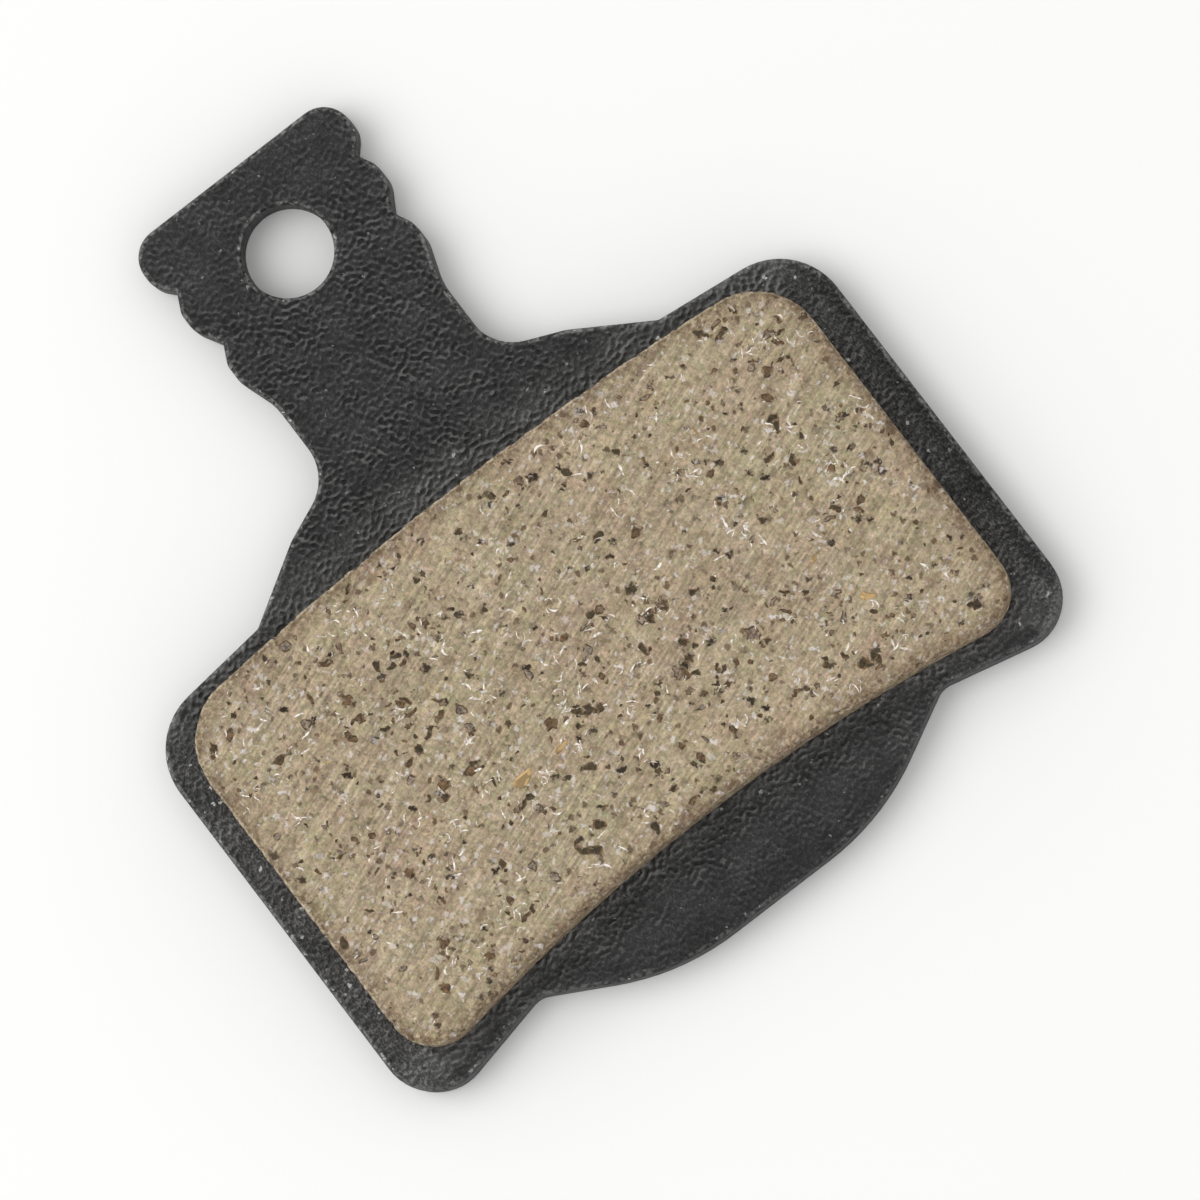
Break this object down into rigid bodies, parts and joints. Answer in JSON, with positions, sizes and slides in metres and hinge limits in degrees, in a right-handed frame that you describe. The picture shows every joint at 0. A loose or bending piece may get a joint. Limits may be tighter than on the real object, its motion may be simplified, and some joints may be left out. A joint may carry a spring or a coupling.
{
  "type": "bicycle disc brake pad",
  "caption": "Flat disc brake pad: a black coated steel backing plate with a scalloped, holed retaining tab and a beige semi-metallic friction block moulded onto its front face.",
  "frame": {"origin": "piston axis on the plate's back face", "axes": "+Z from the back face to the friction face, +Y towards the retaining tab, +X across the pad"},
  "size_m": [0.037, 0.0409, 0.004],
  "materials": {
    "coated_steel": "black textured coat, satin",
    "friction_compound": "ground semi-metallic compound, matt, with dark grains and bright metal fibres"
  },
  "bodies": {
    "root": {"backing_plate": "coated_steel", "friction_block": "friction_compound"}
  },
  "joints": []
}
